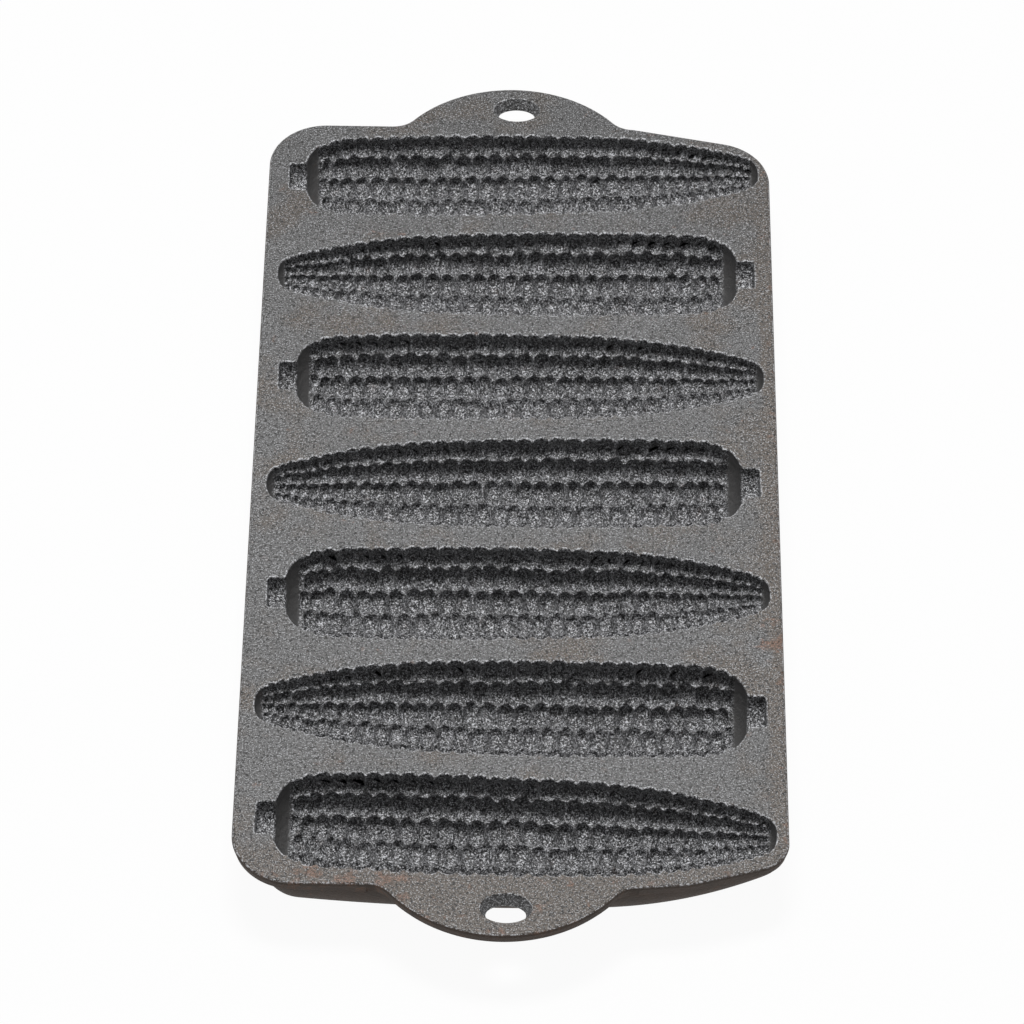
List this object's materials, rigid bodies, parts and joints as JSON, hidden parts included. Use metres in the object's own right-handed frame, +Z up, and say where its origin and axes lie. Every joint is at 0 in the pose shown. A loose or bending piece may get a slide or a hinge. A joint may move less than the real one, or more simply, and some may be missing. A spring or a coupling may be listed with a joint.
{
  "type": "corn stick pan",
  "caption": "Cast iron pan for baking cornbread sticks: half-round moulds dimpled like corn cobs lie side by side in a flat plate with a holed hanging tab at each end.",
  "frame": {"origin": "under the middle of the pan, on the surface it stands on", "axes": "+X along the cobs, towards the tips of the first, third, fifth and last; +Y along the row of cobs, towards the far handle; +Z up out of the moulds"},
  "size_m": [0.149, 0.33, 0.0224],
  "materials": {
    "iron": "sand-cast, seasoned, with a little rust along the edges"
  },
  "bodies": {
    "root": {"deck_plate": "iron", "far_handle_tab": "iron", "near_handle_tab": "iron", "cob_mould_1": "iron", "cob_mould_2": "iron", "cob_mould_3": "iron", "cob_mould_4": "iron", "cob_mould_5": "iron", "cob_mould_6": "iron", "cob_mould_7": "iron"}
  },
  "joints": []
}
